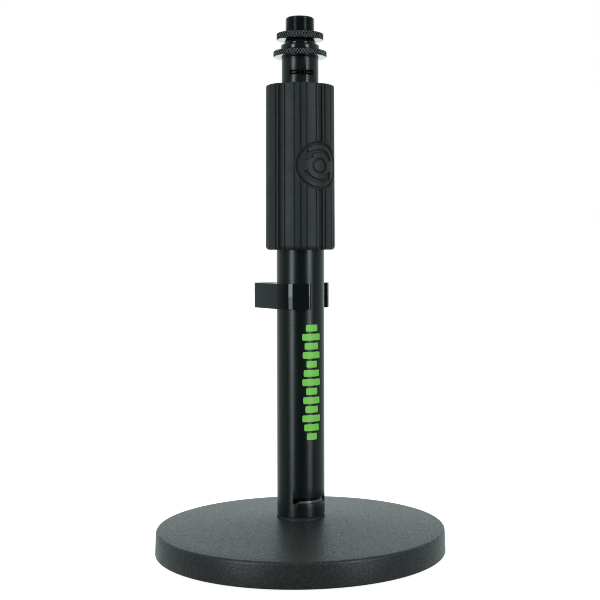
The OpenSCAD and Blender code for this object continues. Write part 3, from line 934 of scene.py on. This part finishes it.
def stud_thread():
    """The stud: flange, smooth neck and a true helical thread with a chamfered tip."""
    low, top = STUD_LOW.z, STUD_HIGH.z
    flange_z = FLANGE_HIGH.z
    neck_z = flange_z + STUD_FLANGE_H
    thread_z = LOCK_LOW.z + 0.3
    plug_r = MAST_IN_R - 0.02
    root = THREAD_R - THREAD_DEPTH
    zs = np.arange(thread_z, top - 0.02, THREAD_PITCH / THREAD_STEPS)

    def thread(phi, z):
        t = ((z - thread_z) / THREAD_PITCH - phi / 360) % 1
        ridge = min(1.0, max(0.0, (1 - abs(2 * t - 1)) * THREAD_FLANK - THREAD_FLAT))
        start = float(smooth(thread_z, thread_z + 0.6, z))
        full = root + THREAD_DEPTH * ridge
        tip = THREAD_R - max(0.0, z - (top - THREAD_CHAMFER))
        return min(SHANK_R + (full - SHANK_R) * start, tip)

    def outline(phi):
        points = [(0, low), (plug_r - 0.5, low), (plug_r, low + 0.5), (plug_r, flange_z)]
        points += [(STUD_FLANGE_R - 0.2, flange_z), (STUD_FLANGE_R, flange_z + 0.2)]
        points += [(STUD_FLANGE_R, neck_z - STUD_EDGE), (STUD_FLANGE_R - STUD_EDGE, neck_z)]
        step_z = neck_z + STUD_NECK_H
        points += [(STUD_NECK_R, neck_z), (STUD_NECK_R, step_z - 0.25), (STUD_NECK_R - 0.25, step_z)]
        points += [(SHANK_R + 0.1, step_z), (SHANK_R, step_z + 0.1), (SHANK_R, thread_z - 0.2)]
        points += [(thread(phi, z), z) for z in zs]
        points += [(root - 0.5, top), (3.0, top), (2.2, top - 0.5), (0, top - 1.2)]
        return points

    piece = lathe("stud_thread", outline, turns(96), 50, closed=False)
    reach = MAST_R + OVERCUT
    hole = radial_cutter("hole", SCREW_PHI, STUD_SLOT_Z, SCREW_THREAD_R, SCREW_TIP_R, reach, 32)
    carve(piece, [hole], 50)
    return piece


def stud_keys():
    """The two ribs of the stud that lie in the upper tube's slot."""
    inner, outer = MAST_IN_R - 0.5, MAST_R - 0.05
    low = STUD_SLOT_Z - STUD_KEY_H / 2
    pieces = []
    for start, end in STUD_KEYS:
        key = sector_cutter("stud_key", inner, outer, low, STUD_KEY_H, start, end)
        soften(key, STUD_KEY_ROUND)
        pieces.append(key)
    return pieces


def bar_places(half_w, steps=14, corner_steps=5):
    """Places across a printed bar, close together at its rounded ends."""
    corner = [
        BAR_CORNER * (1 - math.cos(math.pi / 2 * k / corner_steps)) - half_w
        for k in range(corner_steps + 1)
    ]
    middle = np.linspace(BAR_CORNER - half_w, half_w - BAR_CORNER, steps)[1:-1]
    return corner + list(middle) + [-x for x in reversed(corner)]


def side_print():
    """A printed sound-level pattern: a column of bars of different lengths round the tube."""
    pitch = (PRINT_Z[1] - PRINT_Z[0]) / len(BARS)
    half_h = pitch * BAR_FILL / 2
    verts, faces = [], []
    for index, length in enumerate(BARS):
        z_mid = PRINT_Z[0] + pitch * (index + 0.5)
        half_w = BAR_LEN * length / 2
        xs = bar_places(half_w)
        first = len(verts)
        for x in xs:
            into = max(0.0, abs(x) - (half_w - BAR_CORNER))
            reach = half_h - BAR_CORNER + math.sqrt(max(0.0, BAR_CORNER ** 2 - into ** 2))
            phi = PRINT_PHI + math.degrees(x / TUBE_R)
            for film in PRINT_FILM:
                verts += [polar(TUBE_R + film, phi, z_mid + side * reach) for side in (-1, 1)]
        for k in range(len(xs) - 1):
            a, b = first + 4 * k, first + 4 * k + 4
            faces += [(a + 2, b + 2, b + 3, a + 3), (a, a + 1, b + 1, b)]
            faces += [(a, b, b + 2, a + 2), (a + 1, a + 3, b + 3, b + 1)]
        last = first + 4 * (len(xs) - 1)
        faces += [(first, first + 2, first + 3, first + 1), (last, last + 1, last + 3, last + 2)]
    return make_mesh("side_print", verts, faces, 40)


# ---- Stage (in metres) ----

# Red share of the room's and the lamps' light, which are a little cyan
ROOM_RED = 0.86
LAMP_RED = 0.9
# Brightness of the room from the camera's side (0) to behind the stand (1)
ROOM_STOPS = (
    (0.0, 0.03), (0.2, 0.06), (0.33, 0.13), (0.43, 0.26),
    (0.57, 0.36), (0.7, 0.46), (0.854, 0.66), (0.98, 1.0),
)
STRIP_WIDTH = 0.36
STRIP_DISTANCE = 1.2
# Azimuth and radiance of the two strip lights
STRIPS = (("left", -40, 16.2), ("right", 47, 15.4))
# Lower and upper end of the strips' parts, and the share of the radiance that each gives
STRIP_PARTS = (("upper", 0.09, 1.16, 1.0), ("lower", -0.22, 0.09, 0.58))
FLOOR_HALF = 4.0
CAMERA_PLACE = (0.0275, -0.6494, 0.1642)
CAMERA_ROLL = 0.12
CAMERA_SHIFT = (-0.0847, -0.0833)
LENS_MM = 71.4
SENSOR_MM = 36.0


def build_world():
    """A studio room: white behind, dim grey at the sides, dark behind the camera."""
    world = bpy.data.worlds.new("studio")
    bpy.context.scene.world = world
    world.use_nodes = True
    tree = world.node_tree
    background = tree.nodes["Background"]
    place = tree.nodes.new("ShaderNodeTexCoord")
    split = tree.nodes.new("ShaderNodeSeparateXYZ")
    tree.links.new(place.outputs["Generated"], split.inputs["Vector"])
    remap = tree.nodes.new("ShaderNodeMapRange")
    remap.inputs["From Min"].default_value = -1
    remap.inputs["From Max"].default_value = 1
    tree.links.new(split.outputs["Y"], remap.inputs["Value"])
    ramp = tree.nodes.new("ShaderNodeValToRGB")
    while len(ramp.color_ramp.elements) < len(ROOM_STOPS):
        ramp.color_ramp.elements.new(0.5)
    for element, (where, level) in zip(ramp.color_ramp.elements, ROOM_STOPS):
        element.position = where
        element.color = (ROOM_RED * level, level, level, 1)
    tree.links.new(remap.outputs["Result"], ramp.inputs["Fac"])
    seen = tree.nodes.new("ShaderNodeLightPath")
    mix = tree.nodes.new("ShaderNodeMix")
    mix.data_type = "RGBA"
    tree.links.new(seen.outputs["Is Camera Ray"], mix.inputs[0])
    tree.links.new(ramp.outputs["Color"], mix.inputs[6])
    mix.inputs[7].default_value = (1, 1, 1, 1)
    tree.links.new(mix.outputs[2], background.inputs["Color"])


def strip_light(name, azimuth, low, high, radiance):
    """A tall soft light that stands round the object, azimuth 0 being the camera's side."""
    data = bpy.data.lights.new(name, "AREA")
    data.shape = "RECTANGLE"
    data.size, data.size_y = STRIP_WIDTH, high - low
    data.energy = radiance * STRIP_WIDTH * (high - low)
    data.color = (LAMP_RED, 1.0, 1.02)
    lamp = bpy.data.objects.new(name, data)
    lamp.location = polar(STRIP_DISTANCE, azimuth, (low + high) / 2)
    aim = Vector((0, 0, (low + high) / 2)) - lamp.location
    lamp.rotation_euler = aim.to_track_quat("-Z", "Y").to_euler()
    bpy.context.scene.collection.objects.link(lamp)


def build_floor():
    """A white floor. Only the camera sees it, so that the room alone is mirrored in the object."""
    corners = [(x * FLOOR_HALF, y * FLOOR_HALF, 0) for x, y in ((-1, -1), (1, -1), (1, 1), (-1, 1))]
    mesh = bpy.data.meshes.new("floor")
    mesh.from_pydata(corners, [], [(0, 1, 2, 3)])
    floor = bpy.data.objects.new("floor", mesh)
    bpy.context.scene.collection.objects.link(floor)
    floor.visible_glossy = False
    floor.visible_diffuse = False
    floor.visible_shadow = False
    n = Nodes("floor_paper")
    fibre = n.noise(60, 3.0)
    n.set(
        Base_Color=n.mix(fibre, (0.88, 0.88, 0.88), (0.92, 0.92, 0.92)), Roughness=0.9,
        Specular_IOR_Level=0.0, Emission_Color=(1.0, 1.0, 1.0), Emission_Strength=0.86,
    )
    mesh.materials.append(n.material)


def build_camera():
    """A level camera, shifted so that the stand fills the frame."""
    data = bpy.data.cameras.new("camera")
    data.sensor_width = SENSOR_MM
    data.lens = LENS_MM
    data.shift_x, data.shift_y = CAMERA_SHIFT
    camera = bpy.data.objects.new("camera", data)
    camera.location = CAMERA_PLACE
    camera.rotation_euler = (math.radians(90), math.radians(CAMERA_ROLL), 0)
    bpy.context.scene.collection.objects.link(camera)
    bpy.context.scene.camera = camera


# ---- Assembly ----

def dress(piece, material, body, slot_name, *nodes):
    """Gives a new piece its material and body, in place of the CAD nodes that it remakes."""
    piece.data.materials.clear()
    piece.data.materials.append(material)
    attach(piece, body)
    if nodes:
        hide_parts(*nodes)


def dress_node(node, material):
    """Gives a CAD node its material."""
    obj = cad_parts[node]
    obj.data.materials.clear()
    obj.data.materials.append(material)


coat = powder_coat()
paint = tube_paint()
oxide = black_oxide()
plug = plug_oxide()
steel = machined_steel()
rubber = grip_rubber()
gloss = clip_plastic()
nut_plastic = moulded_plastic("nut_plastic", (0.012, 0.013, 0.014), (0.020, 0.022, 0.023))
nylon = moulded_plastic("nylon", (0.50, 0.49, 0.44), (0.60, 0.59, 0.54), 0.42)
foot_rubber = soft_rubber()
zinc = zinc_plate()
ink = print_ink()

dress(base_casting(), coat, "base", "base_powder_coat", "base_plate")
dress(tube_shell(), paint, "lower_tube", "tube_paint", "lower_tube")
dress(side_print(), ink, "lower_tube", "print_green")
dress(mast_shell(), paint, "upper_tube", "tube_paint", "upper_tube")
dress(clip_moulding(), gloss, "cable_clip", "clip_plastic", "cable_clip")
dress(grip_rubber_sleeve(), rubber, "grip", "grip_rubber", "grip_sleeve")
dress(nut_core(), nut_plastic, "grip", "nut_plastic", "clutch_nut")
flange_oxide = knurled_oxide("flange_knurl", FLANGE_HIGH.x)
dress(flange_knurl(), flange_oxide, "upper_tube", "black_oxide", "knurled_flange")
dress(stud_thread(), oxide, "upper_tube", "black_oxide", "thread_stud")
for key in stud_keys():
    dress(key, plug, "upper_tube", "black_oxide")
ring_oxide = knurled_oxide("ring_knurl", LOCK_HIGH.x)
dress(ring_knurl(), ring_oxide, "lock_ring", "black_oxide", "lock_ring")

dress_node("base_spigot", steel)
dress_node("bayonet_pin", oxide)
dress_node("stud_set_screw", plug)
screw_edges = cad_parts["stud_set_screw"].modifiers.new("soft_edges", "BEVEL")
screw_edges.width = SCREW_ROUND * MM
screw_edges.segments = 2
for node in ("rubber_feet", "base_gasket"):
    dress_node(node, foot_rubber)
for node in ("base_bolt", "lock_washer", "flat_washer", "retaining_rings"):
    dress_node(node, zinc)
for node in ("clutch_body", "collet", "thrust_washer", "guide_bush"):
    dress_node(node, nylon)

build_world()
for side, azimuth, radiance in STRIPS:
    for part, low, high, share in STRIP_PARTS:
        strip_light(f"{side}_{part}_strip", azimuth, low, high, share * radiance)
build_floor()
build_camera()
bpy.context.scene.view_settings.view_transform = "Standard"
# A narrow pixel filter and an unfiltered denoiser guide keep the knurl and the thread crisp
bpy.context.scene.cycles.filter_width = 1.0
bpy.context.scene.cycles.denoising_prefilter = "NONE"
